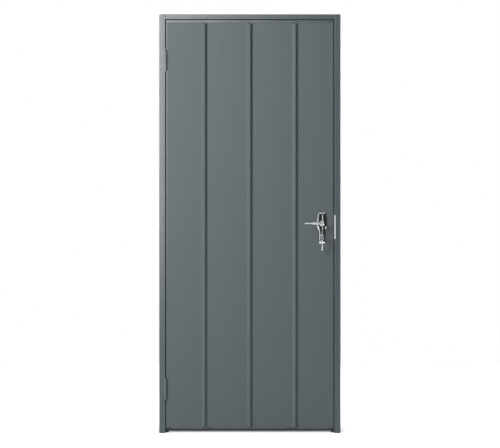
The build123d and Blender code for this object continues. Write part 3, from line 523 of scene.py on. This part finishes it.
def floor_glow(tree, place):
    """How strongly each spot of the floor glows, from 0 to 1."""
    away = add_node(tree, "ShaderNodeVectorMath", {0: place}, operation="LENGTH").outputs["Value"]
    fade = add_node(tree, "ShaderNodeMapRange", {"Value": away, **GLOW_FADE}).outputs[0]
    spot = add_node(tree, "ShaderNodeSeparateXYZ", {0: place}).outputs
    out = add_node(tree, "ShaderNodeMath", {0: spot["X"]}, operation="ABSOLUTE").outputs[0]
    clear = 0.0
    for value, (dark_at, light_at) in ((out, SHADE_SIDE), (spot["Y"], SHADE_BACK),
                                       (spot["Y"], SHADE_FRONT)):
        rise = add_node(tree, "ShaderNodeMapRange",
                        {"Value": value, "From Min": dark_at, "From Max": light_at}).outputs[0]
        clear = add_node(tree, "ShaderNodeMath", {0: clear, 1: rise},
                         operation="MAXIMUM").outputs[0]
    unshaded = add_node(tree, "ShaderNodeMapRange", {"Value": clear, "To Min": SHADE_GLOW})
    return add_node(tree, "ShaderNodeMath", {0: fade, 1: unshaded.outputs[0]},
                    operation="MULTIPLY").outputs[0]


print("the shade ends", SHADE_BACK[1], "m behind the middle of the frame")

# %% Make the floor's finish
FLOOR_GREYS = (0.48, 0.52)
FLOOR_GRAIN = 400 * MILLIMETRE


def white_floor():
    """A pale floor that keeps the door's shadow, with painted shade behind the threshold, and is
    white elsewhere.
    """
    material, tree, shader, place = start_material("pale_floor")
    tree.nodes.remove(shader)
    rays = add_node(tree, "ShaderNodeLightPath").outputs
    seen = rays["Is Camera Ray"]
    for ray in ("Is Glossy Ray", "Is Transmission Ray"):
        seen = add_node(tree, "ShaderNodeMath", {0: seen, 1: rays[ray]},
                        operation="MAXIMUM").outputs[0]
    grey = add_node(tree, "ShaderNodeMapRange",
                    {"Value": mottle(tree, place, FLOOR_GRAIN), "To Min": FLOOR_GREYS[0],
                     "To Max": FLOOR_GREYS[1]}).outputs[0]
    tint = add_node(tree, "ShaderNodeCombineColor", {0: grey, 1: grey, 2: grey})
    matt = add_node(tree, "ShaderNodeBsdfDiffuse", {"Color": tint.outputs[0]}).outputs[0]
    glow = add_node(tree, "ShaderNodeEmission",
                    {"Color": (1, 1, 1, 1), "Strength": floor_glow(tree, place)}).outputs[0]
    lit = add_node(tree, "ShaderNodeAddShader", {0: matt, 1: glow}).outputs[0]
    both = add_node(tree, "ShaderNodeMixShader", {0: seen, 1: matt, 2: lit})
    tree.links.new(both.outputs[0], tree.nodes["Material Output"].inputs["Surface"])
    return material


# %% Lay the floor
FLOOR_RADIUS = 6.0
FLOOR_CORNERS = 96
turns = [2 * math.pi * i / FLOOR_CORNERS for i in range(FLOOR_CORNERS)]
ring = [(FLOOR_RADIUS * math.cos(turn), FLOOR_RADIUS * math.sin(turn), 0) for turn in turns]
disc = bpy.data.meshes.new("floor")
disc.from_pydata(ring, [], [range(FLOOR_CORNERS)])
disc.materials.append(white_floor())
floor = add_piece("floor", disc)
print("a round floor", 2 * FLOOR_RADIUS, "m across")

# %% [markdown]
# ## The room that the gloss sees
# Satin enamel and chrome show the room they stand in. Here it is a dark one, which gives
# the chrome its depth, with a pale ceiling and pale walls beside and behind the door. A
# dark cloth hangs straight behind the door, so that its back doesn't mirror plain white.
# Two pale cards stand in front, one far to the left and one close to the camera: they are
# the bright bands on the handle and its plate. Only mirror and glass rays see all this. The
# camera sees white, and everything else gets a weak even glow.

# %% Start the room, with the bearing and the height of each direction
world = bpy.data.worlds.new("studio")
bpy.context.scene.world = world
world.use_nodes = True
sky = world.node_tree
sky.nodes.clear()
direction = add_node(sky, "ShaderNodeTexCoord").outputs["Generated"]
toward = add_node(sky, "ShaderNodeSeparateXYZ", {0: direction}).outputs
ahead = add_node(sky, "ShaderNodeMath", {0: toward["Y"]}, operation="ABSOLUTE").outputs[0]
bearing = add_node(sky, "ShaderNodeMath", {0: toward["X"], 1: ahead},
                   operation="ARCTAN2").outputs[0]
print("the room is", world.name)

# %% Furnish the room
ROOM_DARK = 0.04
CEILING = {"From Min": 0.35, "From Max": 0.60}
WALLS = {"From Min": 0.05, "From Max": 0.30}
CLOTH = {"From Min": 0.95, "From Max": 0.75}
# A card's bearing and width in degrees, and its middle and half its height as slopes.
CARDS = [(-56, 22, 0.25, 0.60), (9, 10, 0.0, 0.30)]
CARD_EDGE = 0.3


def card(azimuth, width, middle, half_height):
    """A pale card that stands in the room, with soft edges."""
    parts = []
    for value, centre, half in ((bearing, math.radians(azimuth), math.radians(width / 2)),
                                (toward["Z"], middle, half_height)):
        off = add_node(sky, "ShaderNodeMath", {0: value, 1: centre}, operation="SUBTRACT")
        off = add_node(sky, "ShaderNodeMath", {0: off.outputs[0]}, operation="ABSOLUTE")
        parts.append(add_node(sky, "ShaderNodeMapRange",
                              {"Value": off.outputs[0], "From Min": half * (1 - CARD_EDGE),
                               "From Max": half * (1 + CARD_EDGE), "To Min": 1.0,
                               "To Max": 0.0}).outputs[0])
    return add_node(sky, "ShaderNodeMath", {0: parts[0], 1: parts[1]},
                    operation="MULTIPLY").outputs[0]


ceiling = add_node(sky, "ShaderNodeMapRange", {"Value": toward["Z"], **CEILING}).outputs[0]
walls = add_node(sky, "ShaderNodeMapRange", {"Value": toward["Y"], **WALLS}).outputs[0]
cloth = add_node(sky, "ShaderNodeMapRange", {"Value": toward["Y"], **CLOTH}).outputs[0]
behind = add_node(sky, "ShaderNodeMath", {0: walls, 1: cloth}, operation="MINIMUM").outputs[0]
room = ROOM_DARK
for part in [ceiling, behind] + [card(*sizes) for sizes in CARDS]:
    room = add_node(sky, "ShaderNodeMath", {0: room, 1: part}, operation="MAXIMUM").outputs[0]
print("the room has", len(CARDS), "cards")

# %% Show each kind of ray its part
ROOM_GLOW = 0.03
rays = add_node(sky, "ShaderNodeLightPath").outputs
mirrored = add_node(sky, "ShaderNodeMath",
                    {0: rays["Is Glossy Ray"], 1: rays["Is Transmission Ray"]},
                    operation="MAXIMUM").outputs[0]
soft = add_node(sky, "ShaderNodeMix", {"Factor": mirrored, "A": ROOM_GLOW, "B": room},
                data_type="FLOAT").outputs[0]
level = add_node(sky, "ShaderNodeMix", {"Factor": rays["Is Camera Ray"], "A": soft, "B": 1.0},
                 data_type="FLOAT").outputs[0]
glow = add_node(sky, "ShaderNodeBackground", {"Color": (1, 1, 1, 1), "Strength": level})
add_node(sky, "ShaderNodeOutputWorld", {"Surface": glow.outputs[0]})
print("the room's tree has", len(sky.nodes), "nodes")

# %% [markdown]
# ## The lamps
# The light is a studio's. A wide soft box, far off at the front left, models the ribs. Two
# near the door, a tall one a little left of its middle and a small one above that, give
# the enamel the sheen at its upper left. They are seen in the paint's gloss alone and add
# no other light. A small weak one is there for the zinc, the nickel and the wire. Two stand
# behind the door and one off each end, so that it looks right from every side. Polished
# chrome would show each lamp as a blown-out spot, so none of them lights it: it shows the
# room and its cards instead, as a polished casting does in a tent.

# %% Choose what each lamp lights
def lit_group(name, finishes):
    """The floor and every piece, apart from the pieces of these finishes."""
    left_out = " ".join(FINISHES[finish][1] for finish in finishes).split()
    group = bpy.data.collections.new(name)
    for thing in bpy.context.scene.objects:
        if thing.type == "MESH" and thing.name not in left_out:
            group.objects.link(thing)
    return group


PLATED = ("zinc", "nickel", "wire")
paint_only = lit_group("paint_and_sheet", ("chrome",) + PLATED)
all_but_chrome = lit_group("all_but_chrome", ("chrome",))
plated_only = lit_group("plated_fittings", [finish for finish in FINISHES if finish not in PLATED])


# %% Hang the lamps
def soft_box(name, place, target, size, power, lights, sheen_only=False):
    """A rectangular studio lamp aimed at a point, its size in metres and its power in watts."""
    data = bpy.data.lights.new(name, "AREA")
    data.shape = "RECTANGLE"
    data.size, data.size_y = size
    data.energy = power
    lamp = bpy.data.objects.new(name, data)
    lamp.location = place
    lamp.rotation_euler = (Vector(target) - Vector(place)).to_track_quat("-Z", "Y").to_euler()
    lamp.visible_camera = False
    lamp.visible_diffuse = not sheen_only
    lamp.light_linking.receiver_collection = lights
    bpy.context.scene.collection.objects.link(lamp)
    print(name, power, "W")


MIDDLE = (0, 0, 1.0)
soft_box("sheen_box", (-0.68, -2.4, 1.80), (-0.50, 0, 1.7), (0.4, 2.0), 44, paint_only,
         sheen_only=True)
soft_box("fittings_box", (-0.57, -2.84, 1.02), (0.41, 0, 1.02), (0.6, 0.8), 2.0, plated_only)
soft_box("head_box", (-0.45, -2.4, 2.80), (-0.30, 0, 2.0), (0.7, 1.1), 16, paint_only,
         sheen_only=True)
soft_box("modelling_box", (-4.0, -4.0, 3.4), MIDDLE, (1.8, 2.4), 252, all_but_chrome)
soft_box("far_side_box", (3.2, 4.4, 2.6), MIDDLE, (2.0, 2.4), 210, all_but_chrome)
soft_box("far_side_fill", (-3.6, 4.4, 2.0), MIDDLE, (2.0, 2.4), 60, all_but_chrome)
for side, word in ((-1, "hinge"), (1, "lock")):
    soft_box(f"{word}_end_box", (side * 4.2, 0.6, 1.4), (0, 0.1, 1.0), (1.2, 2.0), 110,
             all_but_chrome)

# %% [markdown]
# ## Finish
# The colours go to the picture as they are, with no film curve. Nothing here makes the door
# larger.

# %% Finish
bpy.context.scene.view_settings.view_transform = "Standard"
